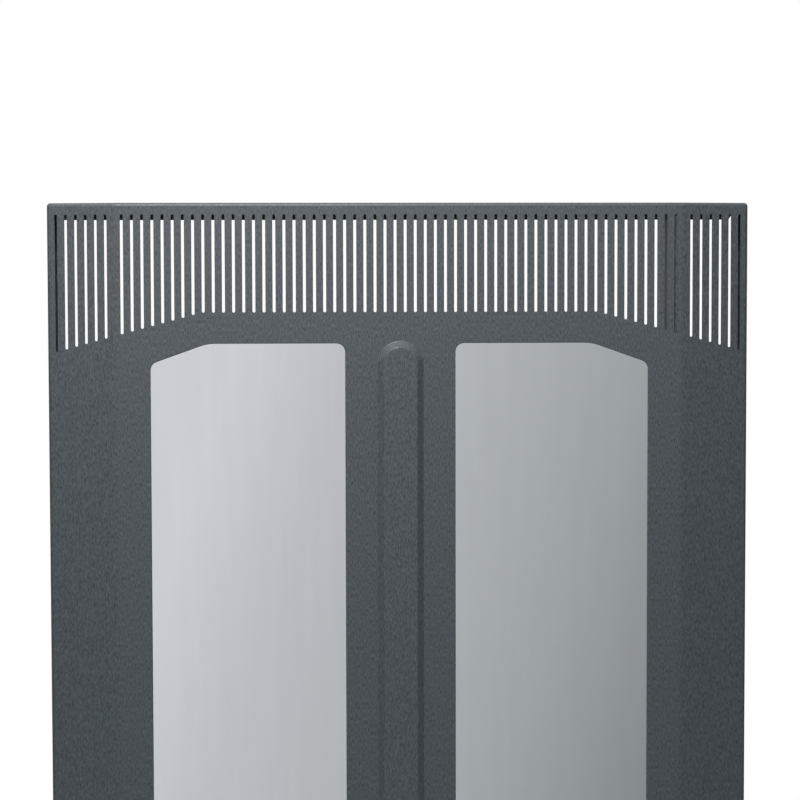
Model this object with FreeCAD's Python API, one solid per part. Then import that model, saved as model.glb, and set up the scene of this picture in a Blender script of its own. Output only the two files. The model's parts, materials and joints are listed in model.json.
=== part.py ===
"""Steel rack door with two tall acrylic windows, vent slots and a quarter-turn cam lock.

Pieces are drawn in the panel frame: X across the door from its centre line, Y back from the front
face, Z up from the bottom edge. They are written in the door's own frame, which has its origin on the
hinge axis at the bottom edge. Sizes are in millimetres and angles in degrees.
"""
import FreeCAD
import Part
import math
import os
from FreeCAD import Vector

# Door panel
height = 1244.4               # 27 rack units of 44.45, and 22.1 past the rack opening at each end
sheet = 1.2                   # steel sheet of the skin
flat_width = 450.0            # flat centre, bend to bend
facet_width = 55.1            # side facet, bend to outer edge
facet_angle = 9.0             # lean of a facet
side_depth = 25.4             # side flange, outer edge of the facet to the back
fold_radius = 1.5             # inside radius of the end folds and of the stiffener
corner_ease = 0.5             # how much rounder the side folds are than the end folds
facet_bend_radius = 18.5      # inside radius of the two shallow bends
cut_past = 2.0                # overshoot of every cutter
tolerance = 0.001             # for picking edges by their place

# Return lips at the back
end_lip = 12.7
side_lip = 7.8
lip_gap = 0.8                 # end of an end lip to the side lip
lip_cut_run = 2.6             # cut corner of an end lip, measured across
lip_cut_rise = 4.0

# Vent slots
slot_pitch = 8.0
slot_width = 2.3
slot_end_margin = 9.1         # door end to a slot's near end
slot_reach = 86.7             # door end to a slot's far end, in the level part
slot_level_half = 157.0       # half width of the level part
slot_fall_angle = 15.0        # fall of the slots' far ends outside the level part
slot_bend_gap = 4.9           # least distance of a centre slot from the bend
facet_slot_start = 7.9        # bend to the first slot of a facet
facet_slot_margin = 7.0       # least distance of a facet slot from the outer edge

# Centre rib, pressed out of the sheet
rib_width = 36.5
rib_bevel = 5.0
rib_height = 4.2
rib_edge_radius = 1.5         # soft edges of the pressing
rib_end_margin = 109.6        # door end to rib

# Windows
window_end_margin = 111.4     # door end to window opening
window_side_margin = 27.1     # bend to window opening
bridge_width = 87.8           # between the two openings
window_radius = 7.0           # corners of an opening
window_slope_run = 45.0       # sloping outer corner, measured across
window_slope_angle = 19.6
window_knee_radius = 35.0     # soft corner between slope and level edge
window_edge_radius = 0.8      # rolled front edge of an opening
acrylic = 3.0                 # thickness of a window
acrylic_overlap = 10.0        # window past its opening
acrylic_radius = 4.0
tape = 1.0                    # thickness of the foam tape
tape_setback = 2.0            # tape to the opening's edge
tape_edge = 1.0               # tape to the window's edge

# Window fasteners
stud_diameter = 3.0
stud_length = 9.0
stud_hole_play = 0.5          # around a stud in the window and the tape
stud_rows = 5
stud_end_inset = 46.0         # end of the opening to the first stud
washer_diameter = 7.0
washer_height = 0.6
nut_flats = 5.5
nut_height = 2.4
thread_play = 0.05            # radial, in every nut and washer

# Stiffener angle beside the right bend
angle_sheet = 1.5
angle_foot = 9.5
angle_leg = 20.0
angle_bend_gap = 2.0          # foot to the bend
angle_end_gap = 6.0           # each end to the door's end
angle_weld_inset = 30.0       # each end to its nearest weld
angle_welds = 12
weld_diameter = 4.0           # dents that spot welds leave in stiffener and pivot plates
weld_floor = 3.0              # flat bottom of a dent
weld_depth = 0.25

# Pivots on the left side
pivot_side_inset = 14.0       # hinge axis to the outer side
pivot_back_inset = 12.0       # hinge axis to the back
pivot_plate = 2.0
pivot_plate_width = 34.0
pivot_plate_depth = 16.0
pivot_plate_radius = 3.0
pivot_plate_gap = 2.5         # plate to the side flange
pivot_weld_reach = 15.6       # hinge axis to the welds
pivot_weld_spacing = 8.0
bush_bore = 6.5
bush_diameter = 10.0
bush_flange_diameter = 15.0
bush_flange = 1.5
bush_play = 0.05              # radial, around a bush

# Bumpers on the end lips
bumper_side_inset = 70.0      # bumper to the outer side
bumper_diameter = 9.0
bumper_rim = 1.6              # straight part of the head
bumper_crown = 2.4            # rounded part of the head
bumper_neck = 5.0
bumper_barb = 6.8
bumper_barb_tip = 4.2
bumper_barb_length = 2.4
bumper_play = 0.1             # radial, around a neck

# Grounding stud on the back of the skin, beside the left bend
ground_height = 190.0
ground_bend_inset = 8.5       # stud to the bend
ground_diameter = 6.0
ground_length = 16.0
ground_washer_diameter = 12.0
ground_washer = 1.6
ground_nut_flats = 10.0
ground_nut = 5.0

# Cam lock in the right facet
lock_head_diameter = 22.0
lock_head = 2.5
lock_head_chamfer = 0.8
barrel_diameter = 19.0
barrel_flats = 16.0
barrel_length = 31.5          # behind the facet's front face
barrel_hole_play = 0.15       # around the barrel in the skin
lock_nut_flats = 24.0
lock_nut_height = 4.0
plug_face_diameter = 14.4
plug_face = 1.7
plug_face_sink = 0.4          # plug's face behind the head's face
plug_diameter = 12.0
plug_play = 0.05              # radial, plug in barrel
plug_seat_gap = 0.1           # under the plug's face
key_slot_width = 1.8
key_slot_height = 8.6
key_slot_depth = 12.0
tang = 8.0                    # square end of the plug
tang_play = 0.05
tang_short = 0.2              # tang's end below the cam's face
stop_diameter = 15.8          # stop sector on the barrel's end
stop_height = 1.2
stop_angle = 180.0
stop_washer_gap = 0.2         # washer to the barrel's end
stop_washer_height = 1.5
stop_washer_diameter = 12.6
stop_ring_play = 0.25         # washer inside the stop sector
stop_tab_angle = 88.0
cam_height = 2.0
cam_width = 15.0
cam_length = 32.0             # lock axis to the cam's tip
cam_screw_diameter = 5.0
cam_screw_length = 9.0
cam_screw_head_diameter = 9.4
cam_screw_head = 3.2

# Sizes that follow from the ones above
lean = math.radians(facet_angle)
half_flat = flat_width / 2
half_width = half_flat + facet_width * math.cos(lean)
depth = facet_width * math.sin(lean) + side_depth
end_fold = fold_radius + sheet
window_inner = bridge_width / 2
window_outer = half_flat - window_side_margin
window_low = window_end_margin
window_high = height - window_end_margin
tape_back = sheet + tape
acrylic_back = tape_back + acrylic
pivot_x = pivot_side_inset - half_width
pivot_y = depth - pivot_back_inset
lip_middle = (end_lip + end_fold) / 2
lip_front = depth - sheet
washer_front = barrel_length + stop_washer_gap
cam_front = washer_front + stop_washer_height
cam_back = cam_front + cam_height
plug_front = plug_face_sink - lock_head
plug_seat = plug_front + plug_face + plug_seat_gap

AXIS_X = Vector(1, 0, 0)
AXIS_Y = Vector(0, 1, 0)
AXIS_Z = Vector(0, 0, 1)
ORIGIN = Vector(0, 0, 0)


# Drawing helpers

def rounded(corners):
    """Closed outline through corners of (x, y, radius)."""
    points = [Vector(x, y, 0) for x, y, _ in corners]
    edges = []
    ends = []
    for index, (_, _, radius) in enumerate(corners):
        here = points[index]
        back = (points[index - 1] - here).normalize()
        ahead = (points[(index + 1) % len(points)] - here).normalize()
        half = back.getAngle(ahead) / 2
        reach = radius / math.tan(half)
        start = here + back * reach
        stop = here + ahead * reach
        ends.append((start, stop))
        if radius > 0:
            inward = (back + ahead).normalize()
            middle = here + inward * (radius / math.sin(half) - radius)
            edges.append(Part.Arc(start, middle, stop).toShape())
    for index, (start, _) in enumerate(ends):
        leave = ends[index - 1][1]
        if leave.distanceToPoint(start) > 1e-6:
            edges.append(Part.LineSegment(leave, start).toShape())
    return Part.Wire(Part.__sortEdges__(edges))


def obround(x, low, high, width):
    """Outline with round ends, standing on x from low to high."""
    radius = width / 2
    left_low = Vector(x - radius, low + radius, 0)
    left_high = Vector(x - radius, high - radius, 0)
    right_low = Vector(x + radius, low + radius, 0)
    right_high = Vector(x + radius, high - radius, 0)
    return Part.Wire([
        Part.LineSegment(right_low, right_high).toShape(),
        Part.Arc(right_high, Vector(x, high, 0), left_high).toShape(),
        Part.LineSegment(left_high, left_low).toShape(),
        Part.Arc(left_low, Vector(x, low, 0), right_low).toShape(),
    ])


def rectangle(low_x, high_x, low_y, high_y, radius):
    """Outline of a rectangle with equal corners."""
    return rounded([(low_x, low_y, radius), (high_x, low_y, radius),
                    (high_x, high_y, radius), (low_x, high_y, radius)])


def upright(outline, front, thickness):
    """Plate of an outline drawn flat and stood up, from y = front backwards."""
    standing = outline.copy()
    standing.rotate(ORIGIN, AXIS_X, 90)
    standing.translate(AXIS_Y * front)
    return Part.Face(standing).extrude(AXIS_Y * thickness)


def hexagon(flats, thickness, hole_diameter):
    """Hexagonal nut lying on z = 0."""
    radius = flats / math.sqrt(3)
    corners = [Vector(radius * math.cos(math.pi * k / 3), radius * math.sin(math.pi * k / 3), 0)
               for k in range(7)]
    nut = Part.Face(Part.makePolygon(corners)).extrude(AXIS_Z * thickness)
    return nut.cut(Part.makeCylinder(hole_diameter / 2, thickness))


def ring(diameter, thickness, hole_diameter):
    """Flat washer lying on z = 0."""
    return Part.makeCylinder(diameter / 2, thickness).cut(Part.makeCylinder(hole_diameter / 2, thickness))


def facing_back(shape, x, y, z):
    """Turn a shape built along +Z so that it runs along +Y from the given point."""
    shape.rotate(ORIGIN, AXIS_X, -90)
    shape.translate(Vector(x, y, z))
    return shape


def folded(shape, side):
    """Lean a shape drawn on the flat sheet back with the facet of that side."""
    shape.rotate(Vector(side * half_flat, 0, 0), AXIS_Z, side * facet_angle)
    return shape


# Door skin

def plan(inset):
    """Outline of the door from above, set in from its outer faces."""
    bend_x = half_flat - inset * math.tan(lean / 2)
    side_x = half_width - inset
    side_y = inset + (side_x - bend_x) * math.tan(lean)
    bend_radius = facet_bend_radius + sheet - inset
    corner_radius = end_fold + corner_ease - inset
    right = [(bend_x, inset, bend_radius), (side_x, side_y, corner_radius),
             (side_x, depth - inset, corner_radius)]
    left = [(-x, y, radius) for x, y, radius in reversed(right)]
    return rounded(right + left)


def rounded_box(inset):
    """Closed box of the door's outline with rolled ends, set in from its outer faces."""
    box = Part.Face(plan(inset)).extrude(AXIS_Z * (height - 2 * inset))
    box.translate(AXIS_Z * inset)
    end_edges = [edge for edge in box.Edges if edge.BoundBox.ZLength < tolerance]
    return box.makeFillet(end_fold - inset, end_edges)


def back_opening():
    """Cutter for the open back: leaves the return lips, with the end lips cut short of the side lips."""
    side_x = half_width - side_lip
    end_x = side_x - lip_gap
    lip_z = height - end_lip
    fold_z = height - end_fold
    quarter = [(side_x, fold_z), (end_x, fold_z), (end_x, lip_z + lip_cut_rise), (end_x - lip_cut_run, lip_z)]
    top = quarter + [(-x, z) for x, z in reversed(quarter)]
    bottom = [(x, height - z) for x, z in reversed(top)]
    outline = rounded([(x, z, 0) for x, z in top + bottom])
    return upright(outline, lip_front, sheet + cut_past)


def slot_pair(across):
    """Top and bottom slot cutters on the flat sheet, at a distance across from the centre line."""
    fall = max(0.0, abs(across) - slot_level_half) * math.tan(math.radians(slot_fall_angle))
    reach = slot_reach + fall
    spans = [(slot_end_margin, reach), (height - reach, height - slot_end_margin)]
    return [upright(obround(across, low, high, slot_width), -cut_past, sheet + 2 * cut_past)
            for low, high in spans]


def slots():
    """All vent slot cutters: the centre field and the two facets."""
    cutters = []
    centre_count = math.floor((half_flat - slot_bend_gap) / slot_pitch + 0.5)
    facet_count = math.floor((facet_width - facet_slot_start - facet_slot_margin) / slot_pitch) + 1
    for side in (-1, 1):
        for index in range(centre_count):
            cutters += slot_pair(side * (index + 0.5) * slot_pitch)
        for index in range(facet_count):
            across = half_flat + facet_slot_start + index * slot_pitch
            cutters += [folded(cutter, side) for cutter in slot_pair(side * across)]
    return cutters


def rib():
    """Pressed rib, from the back of the sheet to its raised front face."""
    foot = rib_width / 2
    face = foot - rib_bevel
    edge = foot + rib_edge_radius
    low = rib_end_margin + foot
    high = height - rib_end_margin - foot
    half = [(edge, sheet, 0), (edge, 0, 0), (foot, 0, rib_edge_radius), (face, -rib_height, rib_edge_radius)]
    section = rounded(half + [(-x, y, radius) for x, y, radius in reversed(half)])
    run = Part.Face(section).extrude(AXIS_Z * (high - low))
    run.translate(AXIS_Z * low)
    end_section = Part.Face(rounded([(0, sheet, 0)] + half + [(0, -rib_height, 0)]))
    ends = []
    for centre, turn in ((low, AXIS_Y), (high, -AXIS_Y)):
        end = end_section.revolve(ORIGIN, turn, 180)
        end.translate(AXIS_Z * centre)
        ends.append(end)
    return run.multiFuse(ends).removeSplitter()


def window_outline(side):
    """Window opening, with the sloping corners on its outer side."""
    drop = window_slope_run * math.tan(math.radians(window_slope_angle))
    knee_x = window_outer - window_slope_run
    corners = [(window_inner, window_low, window_radius), (knee_x, window_low, window_knee_radius),
               (window_outer, window_low + drop, window_radius),
               (window_outer, window_high - drop, window_radius),
               (knee_x, window_high, window_knee_radius), (window_inner, window_high, window_radius)]
    return rounded([(side * x, z, radius) for x, z, radius in corners])


def cut_windows(skin):
    """Cut both window openings and roll their front edges."""
    for side in (-1, 1):
        skin = skin.cut(upright(window_outline(side), -cut_past, sheet + 2 * cut_past))
    front = FreeCAD.BoundBox(-window_outer, -tolerance, window_low, window_outer, tolerance, window_high)
    front.enlarge(tolerance)
    edges = [edge for edge in skin.Edges
             if front.isInside(edge.BoundBox) and abs(edge.CenterOfMass.x) > window_inner - tolerance]
    return skin.makeFillet(window_edge_radius, edges)


def lock_hole():
    """Hole for the flatted lock barrel."""
    radius = barrel_diameter / 2 + barrel_hole_play
    half_flats = barrel_flats / 2 + barrel_hole_play
    hole = barrel(radius, half_flats, sheet + 2 * cut_past)
    hole.translate(AXIS_Z * -cut_past)
    return on_lock_axis(hole)


def bumper_places():
    """Points on the end lips' inner faces that carry a bumper."""
    x = half_width - bumper_side_inset
    return [Vector(side * x, lip_front, z) for side in (-1, 1) for z in (lip_middle, height - lip_middle)]


def door_skin():
    """Folded sheet: tray with return lips, slots, windows, rib and holes."""
    skin = rounded_box(0).cut(rounded_box(sheet))
    skin = skin.cut(back_opening())
    raised = rib()
    hollow = raised.copy()
    hollow.translate(AXIS_Y * sheet)
    skin = cut_windows(skin.fuse(raised).cut(hollow))
    openings = slots()
    openings.append(lock_hole())
    bush_hole = bush_diameter / 2 + bush_play
    openings.append(Part.makeCylinder(bush_hole, height + 2 * cut_past, Vector(pivot_x, pivot_y, -cut_past)))
    for place in bumper_places():
        neck = bumper_neck / 2 + bumper_play
        openings.append(Part.makeCylinder(neck, sheet + 2 * cut_past, place - AXIS_Y * cut_past, AXIS_Y))
    return skin.cut(Part.makeCompound(openings)).removeSplitter()


# Windows and their fasteners

def window_side_lines():
    """Distances of the two stud lines of a window from the centre line."""
    return window_inner - acrylic_overlap / 2, window_outer + acrylic_overlap / 2


def stud_places(side):
    """Feet of one window's studs on the back of the skin."""
    first = window_low + stud_end_inset
    spacing = (window_high - window_low - 2 * stud_end_inset) / (stud_rows - 1)
    return [Vector(side * x, sheet, first + row * spacing)
            for x in window_side_lines() for row in range(stud_rows)]


def stud_holes(side, front, thickness):
    """Clearance holes for one window's studs."""
    radius = stud_diameter / 2 + stud_hole_play
    return Part.makeCompound([Part.makeCylinder(radius, thickness, Vector(place.x, front, place.z), AXIS_Y)
                              for place in stud_places(side)])


def acrylic_outline(side, inset):
    """Edge of a window sheet, set in by inset."""
    margin = acrylic_overlap - inset
    near = side * (window_inner - margin)
    far = side * (window_outer + margin)
    return rectangle(min(near, far), max(near, far), window_low - margin, window_high + margin,
                     acrylic_radius - inset)


def window(side):
    """Acrylic sheet behind one opening."""
    plate = upright(acrylic_outline(side, 0), tape_back, acrylic)
    return plate.cut(stud_holes(side, tape_back, acrylic))


def window_tape(side):
    """Foam tape frame between the skin and one window."""
    frame = upright(acrylic_outline(side, tape_edge), sheet, tape)
    inner = window_outline(side).makeOffset2D(tape_setback)
    frame = frame.cut(upright(inner, sheet, tape))
    return frame.cut(stud_holes(side, sheet, tape))


def window_group(make_piece, front):
    """One fastener piece at every stud of both windows, from y = front backwards."""
    places = stud_places(-1) + stud_places(1)
    return Part.makeCompound([facing_back(make_piece(), place.x, front, place.z) for place in places])


def stud():
    return Part.makeCylinder(stud_diameter / 2, stud_length)


def stud_washer():
    return ring(washer_diameter, washer_height, stud_diameter + 2 * thread_play)


def stud_nut():
    return hexagon(nut_flats, nut_height, stud_diameter + 2 * thread_play)


# Stiffener and pivots

def weld_dents(places, inward):
    """Cutters for the dents of spot welds, from places on the surface inward into the metal."""
    return Part.makeCompound([Part.makeCone(weld_diameter / 2, weld_floor / 2, weld_depth, place, inward)
                              for place in places])


def side_stiffener():
    """Folded angle, foot on the skin just inside the right bend."""
    right = half_flat - angle_bend_gap
    left = right - angle_foot
    front = sheet
    corners = [(left, front, fold_radius + angle_sheet), (right, front, 0), (right, front + angle_sheet, 0),
               (left + angle_sheet, front + angle_sheet, fold_radius),
               (left + angle_sheet, front + angle_leg, 0), (left, front + angle_leg, 0)]
    angle = Part.Face(rounded(corners)).extrude(AXIS_Z * (height - 2 * angle_end_gap))
    angle.translate(AXIS_Z * angle_end_gap)
    first = angle_end_gap + angle_weld_inset
    spacing = (height - 2 * first) / (angle_welds - 1)
    middle = (left + right + angle_sheet + fold_radius) / 2
    welds = [Vector(middle, front + angle_sheet, first + index * spacing) for index in range(angle_welds)]
    return angle.cut(weld_dents(welds, -AXIS_Y))


def at_pivot(shape, at_top):
    """Put a shape built upwards from an end flange's outer face on the hinge axis, at one end of the door."""
    if at_top:
        shape.rotate(ORIGIN, AXIS_X, 180)
    shape.translate(Vector(pivot_x, pivot_y, height if at_top else 0))
    return shape


def pivot_doubler(at_top):
    """Plate that stiffens an end flange around its bush."""
    left = pivot_plate_gap - pivot_side_inset + sheet
    half_depth = pivot_plate_depth / 2
    outline = rectangle(left, left + pivot_plate_width, -half_depth, half_depth, pivot_plate_radius)
    plate = Part.Face(outline).extrude(AXIS_Z * pivot_plate)
    plate = plate.cut(Part.makeCylinder(bush_diameter / 2 + bush_play, pivot_plate))
    welds = [Vector(pivot_weld_reach, y, pivot_plate) for y in (-pivot_weld_spacing / 2, pivot_weld_spacing / 2)]
    plate = plate.cut(weld_dents(welds, -AXIS_Z))
    plate.translate(AXIS_Z * sheet)
    return at_pivot(plate, at_top)


def pivot_bush(at_top):
    """Flanged bush pushed out from inside through doubler and end flange."""
    shank_length = sheet + pivot_plate
    shank = Part.makeCylinder(bush_diameter / 2, shank_length)
    flange = Part.makeCylinder(bush_flange_diameter / 2, bush_flange, AXIS_Z * shank_length)
    bore = Part.makeCylinder(bush_bore / 2, shank_length + bush_flange)
    return at_pivot(shank.fuse(flange).cut(bore).removeSplitter(), at_top)


# Bumpers and grounding stud

def bumper():
    """Push-in bumper along +Z, with the lip between barb and head from z = 0 to the sheet."""
    rim_top = sheet + bumper_rim
    head = bumper_diameter / 2
    crown_radius = (head ** 2 + bumper_crown ** 2) / (2 * bumper_crown)
    half_turn = math.asin(head / crown_radius) / 2
    crown_middle = Vector(crown_radius * math.sin(half_turn), 0,
                          rim_top + bumper_crown - crown_radius * (1 - math.cos(half_turn)))
    corners = [Vector(0, 0, -bumper_barb_length), Vector(bumper_barb_tip / 2, 0, -bumper_barb_length),
               Vector(bumper_barb / 2, 0, 0), Vector(bumper_neck / 2, 0, 0), Vector(bumper_neck / 2, 0, sheet),
               Vector(head, 0, sheet), Vector(head, 0, rim_top)]
    top = Vector(0, 0, rim_top + bumper_crown)
    edges = [Part.LineSegment(a, b).toShape() for a, b in zip(corners, corners[1:])]
    edges.append(Part.Arc(corners[-1], crown_middle, top).toShape())
    edges.append(Part.LineSegment(top, corners[0]).toShape())
    return Part.Face(Part.Wire(edges)).revolve(ORIGIN, AXIS_Z, 360)


def bumpers():
    return Part.makeCompound([facing_back(bumper(), place.x, place.y, place.z) for place in bumper_places()])


def at_ground(shape, reach):
    """Put a shape built along +Z on the back of the skin at the grounding stud, reach from the sheet."""
    return facing_back(shape, ground_bend_inset - half_flat, sheet + reach, ground_height)


# Cam lock, built along +Z from the facet's front face with x outwards and y down

def on_lock_axis(shape):
    facing_back(shape, half_flat + facet_width / 2, 0, height / 2)
    return folded(shape, 1)


def barrel(radius, half_flats, length):
    """Cylinder with two flats, at the left and the right."""
    round_bar = Part.makeCylinder(radius, length)
    between = Part.makeBox(2 * half_flats, 2 * radius, length, Vector(-half_flats, -radius, 0))
    return round_bar.common(between)


def sector(diameter, thickness, start_angle, angle):
    """Slice of a disc on z = 0, starting at start_angle from x towards y."""
    slice_ = Part.makeCylinder(diameter / 2, thickness, ORIGIN, AXIS_Z, angle)
    slice_.rotate(ORIGIN, AXIS_Z, start_angle)
    return slice_


def square_bar(side, low, length):
    return Part.makeBox(side, side, length, Vector(-side / 2, -side / 2, low))


def lock_body():
    """Chamfered head, flatted barrel and the stop sector on its end."""
    head = Part.makeCylinder(lock_head_diameter / 2, lock_head, AXIS_Z * -lock_head)
    rim = [edge for edge in head.Edges if edge.BoundBox.ZMax < tolerance - lock_head]
    head = head.makeChamfer(lock_head_chamfer, rim)
    stop_start = stop_tab_angle / 2 + (360 - stop_angle - stop_tab_angle - 90) / 2
    stop = sector(stop_diameter, stop_height, stop_start, stop_angle)
    stop = stop.cut(Part.makeCylinder(stop_washer_diameter / 2 + stop_ring_play, stop_height))
    stop.translate(AXIS_Z * barrel_length)
    body = head.fuse(barrel(barrel_diameter / 2, barrel_flats / 2, barrel_length)).fuse(stop)
    bore = Part.makeCylinder(plug_diameter / 2 + plug_play, barrel_length + lock_head, AXIS_Z * -lock_head)
    seat = Part.makeCylinder(plug_face_diameter / 2 + plug_play, plug_seat + lock_head, AXIS_Z * -lock_head)
    return body.cut(bore).cut(seat).removeSplitter()


def lock_nut():
    nut = hexagon(lock_nut_flats, lock_nut_height, barrel_diameter + 2 * thread_play)
    nut.translate(AXIS_Z * sheet)
    return nut


def lock_plug():
    """Key plug: face, barrel, key slot, square tang and screw hole."""
    face = Part.makeCylinder(plug_face_diameter / 2, plug_face, AXIS_Z * plug_front)
    core = Part.makeCylinder(plug_diameter / 2, barrel_length - plug_front, AXIS_Z * plug_front)
    end = cam_back - tang_short
    plug = face.fuse(core).fuse(square_bar(tang, barrel_length, end - barrel_length))
    key_slot = Part.makeBox(key_slot_width, key_slot_height, key_slot_depth,
                            Vector(-key_slot_width / 2, -key_slot_height / 2, plug_front))
    thread = Part.makeCylinder(cam_screw_diameter / 2 + thread_play, cam_screw_length,
                               AXIS_Z * (cam_back - cam_screw_length))
    return plug.cut(key_slot).cut(thread).removeSplitter()


def stop_washer():
    """Washer on the tang, with the tab that runs between the stops."""
    washer = Part.makeCylinder(stop_washer_diameter / 2, stop_washer_height)
    tab = sector(stop_diameter, stop_washer_height, -stop_tab_angle / 2, stop_tab_angle)
    washer = washer.fuse(tab).cut(square_bar(tang + 2 * tang_play, 0, stop_washer_height))
    washer.translate(AXIS_Z * washer_front)
    return washer.removeSplitter()


def lock_cam():
    """Latching arm on the tang, pointing outwards when locked."""
    outline = obround(0, -cam_width / 2, cam_length, cam_width)
    outline.rotate(ORIGIN, AXIS_Z, -90)
    arm = Part.Face(outline).extrude(AXIS_Z * cam_height)
    arm = arm.cut(square_bar(tang + 2 * tang_play, 0, cam_height))
    arm.translate(AXIS_Z * cam_front)
    return arm


def cam_screw():
    """Pan-head screw that holds the cam on the tang."""
    shank = Part.makeCylinder(cam_screw_diameter / 2, cam_screw_length, AXIS_Z * (cam_back - cam_screw_length))
    head = Part.makeCylinder(cam_screw_head_diameter / 2, cam_screw_head, AXIS_Z * cam_back)
    rim = [edge for edge in head.Edges if edge.BoundBox.ZMin > cam_back + cam_screw_head - tolerance]
    head = head.makeFillet(cam_screw_head / 2, rim)
    return shank.fuse(head).removeSplitter()


def write(name, shape):
    """Write one piece in the door's own frame."""
    placed = shape.copy()
    placed.translate(Vector(-pivot_x, -pivot_y, 0))
    placed.exportStep(os.path.join("parts", name + ".step"))


os.makedirs("parts", exist_ok=True)
write("door_skin", door_skin())
for side, hand in ((-1, "left"), (1, "right")):
    write(hand + "_window", window(side))
    write(hand + "_window_tape", window_tape(side))
write("window_studs", window_group(stud, sheet))
write("window_washers", window_group(stud_washer, acrylic_back))
write("window_nuts", window_group(stud_nut, acrylic_back + washer_height))
write("side_stiffener", side_stiffener())
for at_top, end in ((False, "bottom"), (True, "top")):
    write(end + "_pivot_plate", pivot_doubler(at_top))
    write(end + "_pivot_bush", pivot_bush(at_top))
write("bumpers", bumpers())
write("ground_stud", at_ground(Part.makeCylinder(ground_diameter / 2, ground_length), 0))
ground_hole = ground_diameter + 2 * thread_play
write("ground_washer", at_ground(ring(ground_washer_diameter, ground_washer, ground_hole), 0))
write("ground_nut", at_ground(hexagon(ground_nut_flats, ground_nut, ground_hole), ground_washer))
write("lock_body", on_lock_axis(lock_body()))
write("lock_nut", on_lock_axis(lock_nut()))
write("lock_plug", on_lock_axis(lock_plug()))
write("stop_washer", on_lock_axis(stop_washer()))
write("lock_cam", on_lock_axis(lock_cam()))
write("cam_screw", on_lock_axis(cam_screw()))
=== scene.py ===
import bmesh
import bpy
import json
import math
from mathutils import Matrix, Vector

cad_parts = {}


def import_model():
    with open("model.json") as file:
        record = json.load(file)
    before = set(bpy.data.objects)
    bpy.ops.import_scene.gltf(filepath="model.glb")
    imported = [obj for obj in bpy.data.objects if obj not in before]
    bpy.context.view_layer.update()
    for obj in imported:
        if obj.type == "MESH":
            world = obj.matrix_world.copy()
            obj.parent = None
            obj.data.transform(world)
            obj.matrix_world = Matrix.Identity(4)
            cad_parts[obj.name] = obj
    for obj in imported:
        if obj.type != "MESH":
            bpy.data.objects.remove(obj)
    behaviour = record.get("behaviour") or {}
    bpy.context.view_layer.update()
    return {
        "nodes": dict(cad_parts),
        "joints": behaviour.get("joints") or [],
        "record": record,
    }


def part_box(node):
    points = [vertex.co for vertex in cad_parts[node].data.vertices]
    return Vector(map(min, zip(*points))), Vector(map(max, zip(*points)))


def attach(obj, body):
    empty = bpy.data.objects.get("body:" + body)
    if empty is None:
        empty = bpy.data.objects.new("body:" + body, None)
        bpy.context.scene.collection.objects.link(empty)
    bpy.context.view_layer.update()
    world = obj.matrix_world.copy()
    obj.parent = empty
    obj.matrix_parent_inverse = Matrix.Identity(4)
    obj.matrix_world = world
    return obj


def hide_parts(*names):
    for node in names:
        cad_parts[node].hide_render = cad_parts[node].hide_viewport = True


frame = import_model()
nodes = frame["nodes"]
record = frame["record"]
slot_of = {part["node"]: part["material_slot"] for part in record["subparts"]}
body_of = {node: body for body, members in record["behaviour"]["bodies"].items() for node in members}
skin_low, skin_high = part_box("door_skin")
door_middle = (skin_low + skin_high) / 2

# Camera, from the door's centre line, front face and top edge; angles in degrees, lens and sensor in mm
camera_left = 0.0743
camera_distance = 1.750
camera_drop = 0.0648
camera_yaw = -2.418
camera_pitch = -2.998
camera_roll = 0.121
camera_lens = 99.22
camera_sensor = 36.0
rib_height = 0.0042           # from the front face to the front of the rib

# Noise that the finishes are made of
soft_detail = 2.0
fine_detail = 3.0
grain_low = 0.3               # noise that gives the first tone
grain_high = 0.7              # noise that gives the second tone

# Powder coat; colours are linear, grains are sizes across X, Y and Z, a relief is its strength and depth
coat_dark = (0.043, 0.0555, 0.061, 1.0)
coat_light = (0.107, 0.1315, 0.144, 1.0)
coat_streaks = (0.0009, 0.00088, 0.003)
coat_rough = (0.36, 0.46)
coat_peel = (0.0007, 0.0007, 0.0012)
coat_relief = (0.25, 0.0002)
edge_turn = 0.35              # Y share of the normal on faces that count as edges
face_turn = 0.75              # Y share of the normal on faces that count as front or back
skin_sheen = 0.35
skin_edge_rough = 0.95
stiffener_sheen = 0.06
stiffener_edge_rough = 0.52

# Acrylic; its tint runs between two tones in faint upright streaks of painted reflection
acrylic_dark = (0.570, 0.595, 0.628, 1.0)
acrylic_light = (0.588, 0.613, 0.648, 1.0)
acrylic_reflection_streaks = (0.010, 0.010, 0.12)
acrylic_haze = (0.05, 0.05, 0.12)
acrylic_rough = (0.0, 0.03)
acrylic_ior = 1.49

# Other finishes: two tones, size of the grain, roughness, metallic share, and relief
grained_finishes = {
    "foam": {"dark": (0.012, 0.012, 0.013, 1.0), "light": (0.035, 0.035, 0.037, 1.0), "size": 0.0006,
             "rough": (0.85, 1.0), "metallic": 0.0, "relief": (0.5, 0.0002)},
    "plated_steel": {"dark": (0.50, 0.51, 0.53, 1.0), "light": (0.68, 0.68, 0.67, 1.0), "size": 0.0008,
                     "rough": (0.28, 0.42), "metallic": 1.0, "relief": (0.1, 0.00005)},
    "nylon": {"dark": (0.66, 0.64, 0.58, 1.0), "light": (0.76, 0.74, 0.69, 1.0), "size": 0.002,
              "rough": (0.4, 0.55), "metallic": 0.0, "relief": (0.1, 0.0001)},
    "rubber": {"dark": (0.010, 0.010, 0.011, 1.0), "light": (0.026, 0.026, 0.027, 1.0), "size": 0.0005,
               "rough": (0.7, 0.9), "metallic": 0.0, "relief": (0.2, 0.0001)},
    "lock_metal": {"dark": (0.58, 0.59, 0.61, 1.0), "light": (0.74, 0.75, 0.76, 1.0), "size": 0.001,
                   "rough": (0.12, 0.22), "metallic": 1.0, "relief": (0.05, 0.00005)},
}

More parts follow.
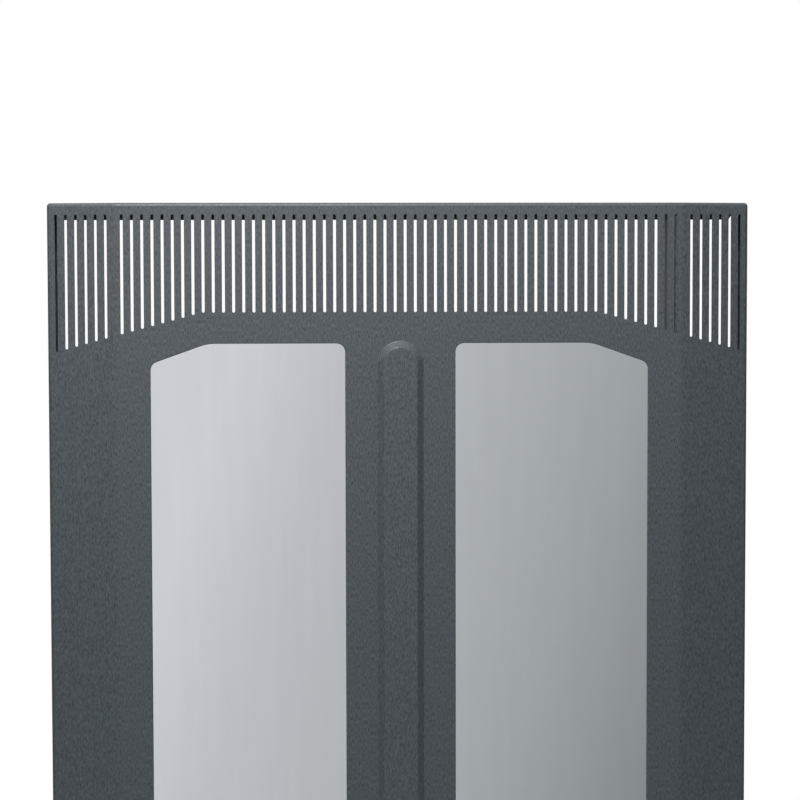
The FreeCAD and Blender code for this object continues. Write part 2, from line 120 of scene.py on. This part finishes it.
# Threads and nuts
thread_depth = 0.54           # share of the pitch
thread_flat = 0.1875          # flat crest and flat root, share of the pitch
thread_tip = 1.5              # bevel at the tip, in depths of the thread
thread_rows = 6               # rows of points in one turn
nut_face = 0.95               # flat face of a nut, share of its flats
nut_bevel = math.radians(30)
bore_bevel = 1.12             # mouth of a nut's bore, share of the bore
nut_columns = 48              # points around a small nut

# Window studs and nuts
stud_line_inset = 0.005       # from a window's side edge
stud_rows = 5
stud_radius = 0.0015
stud_pitch = 0.0005
stud_thread = 0.006           # threaded length
stud_columns = 24
window_nut_flats = 0.0055

# Grounding stud
ground_pitch = 0.001
ground_thread = 0.012
ground_columns = 48

# Lock, along its axis from the facet's front face
lock_columns = 120            # points around
lock_head_radius = 0.011
lock_head_bevel = 0.0008
lock_head_front = -0.0025
barrel_radius = 0.0095
barrel_half_flats = 0.008
barrel_end = 0.0315
barrel_bore = 0.00605
barrel_pitch = 0.001
seat_radius = 0.00725
seat_floor = -0.0003
stop_inner = 0.00655
stop_outer = 0.0079
stop_end = 0.0327
stop_start = math.radians(45)
stop_sweep = math.radians(180)
stop_root = 0.0003            # sector sunk into the barrel
stop_steps = 48
lock_nut_front = 0.0012
lock_nut_height = 0.004
lock_nut_flats = 0.024
lock_nut_bore = 0.0191
lock_nut_columns = 96
screw_seat = 0.0352
screw_radius = 0.0025
screw_length = 0.009
screw_head_radius = 0.0047
screw_head = 0.0032
screw_head_round = 0.0016
screw_head_steps = 8
screw_columns = 64
recess_length = 0.0052
recess_width = 0.0011
recess_depth = 0.0021
recess_taper = 0.45           # floor of the recess, share of its mouth
recess_overrun = 1.2          # top of the bar that cuts it, share of the head

# Plain pieces whose edges are rounded, each with the width of its rounding
weld_distance = 1e-6
flat_angle = math.radians(1)      # neighbouring faces up to this angle are one face
edge_angle = math.radians(35)     # edges past this angle are sharp
eased_angle = math.radians(20)    # the same on a piece with rounded edges
eased_segments = 2
round_profile = 0.5
eased_pieces = {
    "lock_cam": 0.0004,
    "stop_washer": 0.0002,
    "bottom_pivot_plate": 0.0003,
    "top_pivot_plate": 0.0003,
    "bottom_pivot_bush": 0.0003,
    "top_pivot_bush": 0.0003,
    "ground_washer": 0.0002,
    "window_washers": 0.0001,
    "bumpers": 0.0003,
}

# Floor
white = (1.0, 1.0, 1.0, 1.0)
floor_radius = 2.3
floor_sides = 128
floor_fade_start = 1.0
floor_drop = 0.0005           # below the door's lower edge
floor_colour = (0.86, 0.86, 0.86, 1.0)
floor_rough = 0.9
floor_glow = 0.45             # seen from the camera and in glass and metal only

# Light from above and ceiling; a height is the upward share of a direction
sky_colour = (0.84, 0.98, 1.06, 1.0)
sky_strength = 0.32
sky_start = -0.2              # height where the light from above starts
sky_end = 0.5                 # height where it has its full strength
ceiling_start = 0.1
ceiling_end = 0.62

# Backdrops in the coat and through the windows: places along an axis, each with its colour
backdrop_axis = (1.0, 0.0, -0.33)
backdrop_reach = 0.5          # along the axis, both ways
ramp_middle = 0.5             # place on a backdrop's ramp of the middle of the axis
room_stops = (
    (-0.45, (0.20, 0.20, 0.20, 1.0)),
    (-0.14, white),
    (-0.06, white),
    (0.10, (0.71, 0.71, 0.71, 1.0)),
    (0.26, (0.25, 0.25, 0.25, 1.0)),
)
window_stops = (
    (-0.02, white),
    (0.03, (0.83, 0.83, 0.83, 1.0)),
    (0.08, (0.74, 0.75, 0.74, 1.0)),
    (0.16, (0.57, 0.585, 0.575, 1.0)),
    (0.26, (0.30, 0.315, 0.31, 1.0)),
    (0.45, (0.90, 0.90, 0.90, 1.0)),
)

# Lamps: place and target from the door's middle, width and height, power in watts
warm_white = (0.98, 0.96, 0.945)
warmer_white = (1.0, 0.88, 0.87)
lamps = {
    "key": {"place": (-0.16, -0.56, 1.11), "target": (0.0, 0.0, 0.37), "size": (0.35, 0.25), "power": 7.1,
            "colour": warmer_white},
    "top": {"place": (-0.5, -1.2, 2.0), "target": (0.0, 0.0, 0.37), "size": (0.6, 0.6), "power": 11.5,
            "colour": warm_white},
    "back": {"place": (0.9, 1.6, 0.9), "target": (0.0, 0.0, 0.1), "size": (1.0, 1.0), "power": 32.0,
             "colour": warm_white},
}


# Shader helpers

def new_material(name):
    """Material with a Principled shader; returns it with its tree and shader."""
    material = bpy.data.materials.new(name)
    material.use_nodes = True
    tree = material.node_tree
    return material, tree, tree.nodes["Principled BSDF"]


def noise(tree, size, detail):
    """Noise in the door's frame; size is the grain across X, Y and Z."""
    place = tree.nodes.new("ShaderNodeTexCoord")
    mapping = tree.nodes.new("ShaderNodeMapping")
    mapping.inputs["Scale"].default_value = [1 / length for length in size]
    texture = tree.nodes.new("ShaderNodeTexNoise")
    texture.inputs["Scale"].default_value = 1.0
    texture.inputs["Detail"].default_value = detail
    tree.links.new(place.outputs["Object"], mapping.inputs["Vector"])
    tree.links.new(mapping.outputs["Vector"], texture.inputs["Vector"])
    return texture.outputs["Fac"]


def spread(tree, value, low, high, low_value, high_value):
    """Map value from low..high to low_value..high_value."""
    node = tree.nodes.new("ShaderNodeMapRange")
    node.inputs["From Min"].default_value = low
    node.inputs["From Max"].default_value = high
    node.inputs["To Min"].default_value = low_value
    node.inputs["To Max"].default_value = high_value
    tree.links.new(value, node.inputs["Value"])
    return node.outputs["Result"]


def two_tone(tree, grain, dark, light):
    """Colour that runs from dark to light with the grain."""
    ramp = tree.nodes.new("ShaderNodeValToRGB")
    first, last = ramp.color_ramp.elements
    first.position = grain_low
    first.color = dark
    last.position = grain_high
    last.color = light
    tree.links.new(grain, ramp.inputs["Fac"])
    return ramp.outputs["Color"]


def largest(tree, value, *others):
    """Largest of several values."""
    for other in others:
        node = tree.nodes.new("ShaderNodeMath")
        node.operation = "MAXIMUM"
        tree.links.new(value, node.inputs[0])
        tree.links.new(other, node.inputs[1])
        value = node.outputs["Value"]
    return value


def one_axis(tree, vector, axis):
    """X, Y or Z of a vector."""
    node = tree.nodes.new("ShaderNodeSeparateXYZ")
    tree.links.new(vector, node.inputs["Vector"])
    return node.outputs[axis]


def mixed(tree, share, first, second):
    """Shader that runs from first to second as share goes from 0 to 1."""
    node = tree.nodes.new("ShaderNodeMixShader")
    tree.links.new(share, node.inputs["Fac"])
    tree.links.new(first, node.inputs[1])
    tree.links.new(second, node.inputs[2])
    return node.outputs["Shader"]


def bump(tree, shader, height, relief):
    """Raise the surface by a height texture; relief is its strength and depth."""
    strength, depth = relief
    node = tree.nodes.new("ShaderNodeBump")
    node.inputs["Strength"].default_value = strength
    node.inputs["Distance"].default_value = depth
    tree.links.new(height, node.inputs["Height"])
    tree.links.new(node.outputs["Normal"], shader.inputs["Normal"])


# Materials

def powder_coat(name, sheen, edge_rough):
    """Dark grey textured coat with a fine upright grain, rougher on faces turned sideways, up or down."""
    material, tree, shader = new_material(name)
    streaks = noise(tree, coat_streaks, soft_detail)
    tree.links.new(two_tone(tree, streaks, coat_dark, coat_light), shader.inputs["Base Color"])
    normal = tree.nodes.new("ShaderNodeTexCoord").outputs["Normal"]
    forward = tree.nodes.new("ShaderNodeMath")
    forward.operation = "ABSOLUTE"
    tree.links.new(one_axis(tree, normal, "Y"), forward.inputs[0])
    low, high = coat_rough
    rough_grain = spread(tree, streaks, grain_low, grain_high, high, low)
    rough_edges = spread(tree, forward.outputs["Value"], edge_turn, face_turn, edge_rough, low)
    tree.links.new(largest(tree, rough_grain, rough_edges), shader.inputs["Roughness"])
    shader.inputs["Specular IOR Level"].default_value = sheen
    bump(tree, shader, noise(tree, coat_peel, fine_detail), coat_relief)
    return material


def acrylic():
    """Lightly smoked clear sheet with a faint haze, and painted upright reflection streaks in its tint."""
    material, tree, shader = new_material("acrylic")
    # painted reflection: faint upright streaks in the sheet's tint
    streaks = noise(tree, acrylic_reflection_streaks, soft_detail)
    tree.links.new(two_tone(tree, streaks, acrylic_dark, acrylic_light), shader.inputs["Base Color"])
    shader.inputs["Transmission Weight"].default_value = 1.0
    shader.inputs["IOR"].default_value = acrylic_ior
    haze = noise(tree, acrylic_haze, soft_detail)
    tree.links.new(spread(tree, haze, grain_low, grain_high, *acrylic_rough), shader.inputs["Roughness"])
    return material


def grained(name, dark, light, size, rough, metallic, relief):
    """Opaque finish with a two-tone grain, uneven gloss and a fine relief."""
    material, tree, shader = new_material(name)
    grain = noise(tree, (size, size, size), fine_detail)
    tree.links.new(two_tone(tree, grain, dark, light), shader.inputs["Base Color"])
    tree.links.new(spread(tree, grain, grain_low, grain_high, *rough), shader.inputs["Roughness"])
    shader.inputs["Metallic"].default_value = metallic
    bump(tree, shader, grain, relief)
    return material


finishes = {"powder_coat": powder_coat("powder_coat", skin_sheen, skin_edge_rough), "acrylic": acrylic()}
for name, look in grained_finishes.items():
    finishes[name] = grained(name, **look)
for node, slot in slot_of.items():
    mesh = nodes[node].data
    mesh.materials.clear()
    mesh.materials.append(finishes[slot])
thin_coat = powder_coat("thin_powder_coat", stiffener_sheen, stiffener_edge_rough)
nodes["side_stiffener"].data.materials[0] = thin_coat


# Mesh helpers

def new_object(name, data):
    """Object in the scene."""
    made = bpy.data.objects.new(name, data)
    bpy.context.scene.collection.objects.link(made)
    return made


def new_mesh(name, forms, places):
    """Mesh of the same forms, each of points and faces, at every place."""
    points = []
    faces = []
    for place in places:
        for form_points, form_faces in forms:
            start = len(points)
            points += [place @ point for point in form_points]
            faces += [[start + index for index in face] for face in form_faces]
    mesh = bpy.data.meshes.new(name)
    mesh.from_pydata(points, [], faces)
    return mesh


def stand_for(node, mesh, sharp=edge_angle):
    """Show a mesh in place of a CAD node, on its body and with its finish; edges past sharp stay crisp."""
    mesh.materials.clear()
    mesh.materials.append(finishes[slot_of[node]])
    mesh.shade_smooth()
    mesh.set_sharp_from_angle(angle=sharp)
    shown = new_object(node + "_detail", mesh)
    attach(shown, body_of[node])
    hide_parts(node)


def show_forms(node, forms, places):
    """Show the same forms at every place, in place of a CAD node."""
    stand_for(node, new_mesh(node + "_detail", forms, places))


def through(rings, hollow):
    """Closed form through rings of points; a hollow one joins its last ring to its first."""
    count = len(rings[0])
    points = [point for ring_points in rings for point in ring_points]
    faces = []
    for row in range(len(rings) if hollow else len(rings) - 1):
        here = row * count
        there = (row + 1) % len(rings) * count
        for column in range(count):
            ahead = (column + 1) % count
            faces.append((here + column, here + ahead, there + ahead, there + column))
    if not hollow:
        faces.append(tuple(reversed(range(count))))
        faces.append(tuple(range(len(points) - count, len(points))))
    return points, faces


def ring(height, columns, radius_at):
    """Ring of points at a height, with the radius as a function of the angle."""
    angles = [2 * math.pi * column / columns for column in range(columns)]
    return [Vector((radius_at(angle) * math.cos(angle), radius_at(angle) * math.sin(angle), height))
            for angle in angles]


def circle(radius, height, columns):
    """Round ring of points at a height."""
    return ring(height, columns, lambda angle: radius)


# Fasteners

def groove(pitch, angle, height):
    """Depth of a right-hand thread at a point of its cylinder."""
    phase = (height / pitch - angle / (2 * math.pi)) % 1.0
    flank = (abs(2 * phase - 1) - thread_flat) / (1 - 2 * thread_flat)
    return thread_depth * pitch * min(max(flank, 0.0), 1.0)


def thread_rings(radius, low, high, pitch, columns, run_in):
    """Rings of a thread with a bevelled tip, whose groove deepens over its run-in, if it has one."""
    tip = radius - thread_tip * thread_depth * pitch
    count = round((high - low) / pitch * thread_rows)
    rings = []
    for row in range(count + 1):
        height = low + (high - low) * row / count
        share = min(1.0, (height - low) / run_in) if run_in else 1.0
        most = tip + high - height
        rings.append(ring(height, columns,
                          lambda angle: min(most, radius - share * groove(pitch, angle, height))))
    return rings


def threaded_stud(radius, length, thread, pitch, columns):
    """Stud with a plain foot, a thread and a bevelled tip."""
    foot = circle(radius, 0.0, columns)
    return through([foot] + thread_rings(radius, length - thread, length, pitch, columns, pitch), False)


def hex_nut(flats, height, bore, columns):
    """Nut with bevelled corners and a bevelled bore."""
    half = flats / 2
    face = nut_face * half
    slope = math.tan(nut_bevel)
    mouth = bore_bevel * bore / 2
    step = mouth - bore / 2

    def hexagon(angle):
        """Radius of the nut's outline."""
        return half / math.cos(angle % (math.pi / 3) - math.pi / 6)

    def edge(at_top):
        """Upper or lower edge of the flats, where the bevel cuts them."""
        points = ring(0.0, columns, hexagon)
        for point in points:
            drop = (point.length - face) * slope
            point.z = height - drop if at_top else drop
        return points

    rings = [circle(mouth, 0.0, columns), circle(face, 0.0, columns), edge(False), edge(True),
             circle(face, height, columns), circle(mouth, height, columns),
             circle(bore / 2, height - step, columns), circle(bore / 2, step, columns)]
    return through(rings, True)


def facing_back(x, y, z):
    """Place whose own Z axis points to the back of the door."""
    return Matrix.Translation((x, y, z)) @ Matrix.Rotation(math.radians(-90), 4, "X")


def window_places(node):
    """Places of one kind of window fastener, at the front of its node."""
    low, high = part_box("window_studs")
    first = low.z + stud_radius
    spacing = (high.z - low.z - 2 * stud_radius) / (stud_rows - 1)
    lines = []
    for window in ("left_window", "right_window"):
        window_low, window_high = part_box(window)
        lines += [window_low.x + stud_line_inset, window_high.x - stud_line_inset]
    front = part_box(node)[0].y
    return [facing_back(x, front, first + row * spacing) for x in lines for row in range(stud_rows)]


def window_fasteners():
    """Threaded studs and bevelled nuts of both windows."""
    low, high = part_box("window_studs")
    stud = threaded_stud(stud_radius, high.y - low.y, stud_thread, stud_pitch, stud_columns)
    show_forms("window_studs", [stud], window_places("window_studs"))
    low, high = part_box("window_nuts")
    nut = hex_nut(window_nut_flats, high.y - low.y, 2 * stud_radius, nut_columns)
    show_forms("window_nuts", [nut], window_places("window_nuts"))


def ground_fasteners():
    """Threaded grounding stud and its nut."""
    low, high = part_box("ground_stud")
    middle = (low + high) / 2
    radius = (high.x - low.x) / 2
    stud = threaded_stud(radius, high.y - low.y, ground_thread, ground_pitch, ground_columns)
    show_forms("ground_stud", [stud], [facing_back(middle.x, low.y, middle.z)])
    low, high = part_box("ground_nut")
    nut = hex_nut(high.z - low.z, high.y - low.y, 2 * radius, nut_columns)
    show_forms("ground_nut", [nut], [facing_back(middle.x, low.y, middle.z)])


# Lock

def lock_place(depth=0.0):
    """Place on the lock's axis, at a depth from the facet's front face: Z to the back, Y down."""
    joint = frame["joints"][0]
    back = -Vector(joint["axis"])
    down = Vector((0.0, 0.0, -1.0))
    turn = Matrix((down.cross(back), down, back)).transposed()
    return Matrix.Translation(joint["pos_m"]) @ turn.to_4x4() @ Matrix.Translation((0.0, 0.0, depth))


def flatted(points):
    """Cut the barrel's two flats."""
    for point in points:
        point.x = min(max(point.x, -barrel_half_flats), barrel_half_flats)
    return points


def lock_barrel():
    """Hollow barrel with a bevelled head, a thread and two flats."""
    head = [circle(seat_radius, lock_head_front, lock_columns),
            circle(lock_head_radius - lock_head_bevel, lock_head_front, lock_columns),
            circle(lock_head_radius, lock_head_front + lock_head_bevel, lock_columns),
            circle(lock_head_radius, 0.0, lock_columns)]
    thread = thread_rings(barrel_radius, 0.0, barrel_end, barrel_pitch, lock_columns, 0.0)
    bore = [circle(barrel_bore, barrel_end, lock_columns),
            circle(barrel_bore, seat_floor, lock_columns),
            circle(seat_radius, seat_floor, lock_columns)]
    return through(head + [flatted(points) for points in thread] + bore, True)


def stop_sector():
    """Raised sector on the barrel's end that stops the turn."""
    root = Vector((0.0, 0.0, barrel_end - stop_root))
    end = Vector((0.0, 0.0, stop_end))
    sections = []
    for step in range(stop_steps + 1):
        angle = stop_start + stop_sweep * step / stop_steps
        out = Vector((math.cos(angle), math.sin(angle), 0.0))
        sections.append([out * stop_inner + root, out * stop_inner + end, out * stop_outer + end,
                         out * stop_outer + root])
    return through(sections, False)


def lock_body():
    """Barrel and stop sector, which are one casting."""
    show_forms("lock_body", [lock_barrel(), stop_sector()], [lock_place()])


def lock_nut():
    """Large nut that clamps the lock to the facet."""
    nut = hex_nut(lock_nut_flats, lock_nut_height, lock_nut_bore, lock_nut_columns)
    show_forms("lock_nut", [nut], [lock_place(lock_nut_front)])


def recess_bar(length, width):
    """Tapered bar that cuts one arm of the screw's recess, from past the face of the head to its floor."""
    top = recess_overrun * screw_head
    floor_height = screw_head - recess_depth
    grown = 1 + (1 - recess_taper) * (top - screw_head) / recess_depth
    sections = []
    for height, share in ((floor_height, recess_taper), (top, grown)):
        x = length / 2 * share
        y = width / 2 * share
        sections.append([Vector((-x, -y, height)), Vector((x, -y, height)), Vector((x, y, height)),
                         Vector((-x, y, height))])
    return through(sections, False)


def screw_form():
    """Screw with a rounded pan head and no recess."""
    rings = [circle(screw_radius, -screw_length, screw_columns), circle(screw_radius, 0.0, screw_columns),
             circle(screw_head_radius, 0.0, screw_columns)]
    for step in range(screw_head_steps + 1):
        turn = math.pi / 2 * step / screw_head_steps
        radius = screw_head_radius - screw_head_round * (1 - math.cos(turn))
        height = screw_head - screw_head_round * (1 - math.sin(turn))
        rings.append(circle(radius, height, screw_columns))
    return through(rings, False)


def cam_screw():
    """Pan-head screw with a cross recess."""
    place = lock_place(screw_seat)
    blank = new_object("screw_blank", new_mesh("screw_blank", [screw_form()], [place]))
    cutters = []
    for length, width in ((recess_length, recess_width), (recess_width, recess_length)):
        bar = new_mesh("screw_recess", [recess_bar(length, width)], [place])
        cutter = new_object("screw_recess", bar)
        cut = blank.modifiers.new("recess", "BOOLEAN")
        cut.operation = "DIFFERENCE"
        cut.object = cutter
        cutters.append(cutter)
    bpy.context.view_layer.update()
    mesh = bpy.data.meshes.new_from_object(blank.evaluated_get(bpy.context.evaluated_depsgraph_get()))
    for helper in cutters + [blank]:
        bpy.data.objects.remove(helper)
    stand_for("cam_screw", mesh)


# Plain pieces

def ease_edges(node, width):
    """Show a CAD node with its sharp edges rounded."""
    source = nodes[node].data
    mesh = bpy.data.meshes.new(node + "_detail")
    mesh.from_pydata([vertex.co for vertex in source.vertices], [],
                     [polygon.vertices for polygon in source.polygons])
    form = bmesh.new()
    form.from_mesh(mesh)
    bmesh.ops.remove_doubles(form, verts=form.verts, dist=weld_distance)
    bmesh.ops.dissolve_limit(form, angle_limit=flat_angle, verts=form.verts, edges=form.edges)
    sharp = [edge for edge in form.edges if edge.calc_face_angle(0.0) > edge_angle]
    bmesh.ops.bevel(form, geom=sharp, offset=width, segments=eased_segments, profile=round_profile,
                    affect="EDGES", clamp_overlap=True)
    form.to_mesh(mesh)
    form.free()
    stand_for(node, mesh, eased_angle)


window_fasteners()
ground_fasteners()
lock_body()
lock_nut()
cam_screw()
for node, width in eased_pieces.items():
    ease_edges(node, width)


# Studio

def floor_material():
    """Pale floor that keeps the shadow and runs out to nothing."""
    material, tree, shader = new_material("floor")
    shader.inputs["Base Color"].default_value = floor_colour
    shader.inputs["Roughness"].default_value = floor_rough
    shader.inputs["Specular IOR Level"].default_value = 0.0
    path = tree.nodes.new("ShaderNodeLightPath")
    seen = largest(tree, path.outputs["Is Camera Ray"], path.outputs["Is Glossy Ray"],
                   path.outputs["Is Transmission Ray"])
    shader.inputs["Emission Color"].default_value = white
    tree.links.new(spread(tree, seen, 0.0, 1.0, 0.0, floor_glow), shader.inputs["Emission Strength"])
    place = tree.nodes.new("ShaderNodeTexCoord")
    reach = tree.nodes.new("ShaderNodeVectorMath")
    reach.operation = "LENGTH"
    tree.links.new(place.outputs["Object"], reach.inputs[0])
    fade = spread(tree, reach.outputs["Value"], floor_fade_start, floor_radius, 0.0, 1.0)
    clear = tree.nodes.new("ShaderNodeBsdfTransparent")
    surface = mixed(tree, fade, shader.outputs["BSDF"], clear.outputs["BSDF"])
    tree.links.new(surface, tree.nodes["Material Output"].inputs["Surface"])
    return material


def floor():
    """Round floor under the door."""
    bpy.ops.mesh.primitive_circle_add(vertices=floor_sides, radius=floor_radius, fill_type="NGON",
                                      location=(door_middle.x, door_middle.y, skin_low.z - floor_drop))
    disc = bpy.context.object
    disc.name = "floor"
    disc.data.materials.append(floor_material())


def background(tree, colour):
    """Background shader of a colour."""
    shader = tree.nodes.new("ShaderNodeBackground")
    shader.inputs["Color"].default_value = colour
    return shader


def backdrop(tree, way, backdrop_stops):
    """Background that changes sideways and slightly towards the floor, under a bright ceiling."""
    along = tree.nodes.new("ShaderNodeVectorMath")
    along.operation = "DOT_PRODUCT"
    along.inputs[1].default_value = backdrop_axis
    tree.links.new(way, along.inputs[0])
    place = spread(tree, along.outputs["Value"], -backdrop_reach, backdrop_reach, 0.0, 1.0)
    ramp = tree.nodes.new("ShaderNodeValToRGB")
    tree.links.new(place, ramp.inputs["Fac"])
    stops = ramp.color_ramp.elements
    while len(stops) < len(backdrop_stops):
        stops.new(ramp_middle)
    for stop, (reach, colour) in zip(stops, backdrop_stops):
        stop.position = ramp_middle + reach / backdrop_reach / 2
        stop.color = colour
    ceiling = spread(tree, one_axis(tree, way, "Z"), ceiling_start, ceiling_end, 0.0, 1.0)
    brighter = tree.nodes.new("ShaderNodeVectorMath")
    brighter.operation = "MAXIMUM"
    tree.links.new(ramp.outputs["Color"], brighter.inputs[0])
    tree.links.new(ceiling, brighter.inputs[1])
    shader = background(tree, white)
    tree.links.new(brighter.outputs["Vector"], shader.inputs["Color"])
    return shader


def world():
    """White behind the door, graded backdrops in its coat and through its windows, and light from above."""
    studio = bpy.data.worlds.new("studio")
    bpy.context.scene.world = studio
    studio.use_nodes = True
    tree = studio.node_tree
    tree.nodes.remove(tree.nodes["Background"])
    way = tree.nodes.new("ShaderNodeTexCoord").outputs["Generated"]
    sky = background(tree, sky_colour)
    strength = spread(tree, one_axis(tree, way, "Z"), sky_start, sky_end, 0.0, sky_strength)
    tree.links.new(strength, sky.inputs["Strength"])
    seen_by = {"Is Glossy Ray": backdrop(tree, way, room_stops),
               "Is Transmission Ray": backdrop(tree, way, window_stops),
               "Is Camera Ray": background(tree, white)}
    path = tree.nodes.new("ShaderNodeLightPath")
    surface = sky.outputs["Background"]
    for kind, seen in seen_by.items():
        surface = mixed(tree, path.outputs[kind], surface, seen.outputs["Background"])
    tree.links.new(surface, tree.nodes["World Output"].inputs["Surface"])


def lamp(name, place, target, size, power, colour):
    """Soft rectangular lamp at place, facing target."""
    light = bpy.data.lights.new(name, "AREA")
    light.shape = "RECTANGLE"
    light.size, light.size_y = size
    light.energy = power
    light.color = colour
    holder = new_object(name, light)
    spot = door_middle + Vector(place)
    aim = door_middle + Vector(target) - spot
    holder.matrix_world = Matrix.Translation(spot) @ aim.to_track_quat("-Z", "Y").to_matrix().to_4x4()


def camera():
    """Camera at the photograph's place."""
    lens = bpy.data.cameras.new("camera")
    lens.lens = camera_lens
    lens.sensor_width = camera_sensor
    holder = new_object("camera", lens)
    spot = Vector((door_middle.x - camera_left, skin_low.y + rib_height - camera_distance,
                   skin_high.z - camera_drop))
    turn = (Matrix.Rotation(math.radians(camera_yaw), 4, "Z")
            @ Matrix.Rotation(math.radians(camera_pitch), 4, "X")
            @ Matrix.Rotation(math.radians(camera_roll), 4, "Y")
            @ Matrix.Rotation(math.radians(90), 4, "X"))
    holder.matrix_world = Matrix.Translation(spot) @ turn
    bpy.context.scene.camera = holder


floor()
world()
for name, settings in lamps.items():
    lamp(name, **settings)
camera()
bpy.context.scene.view_settings.view_transform = "Standard"
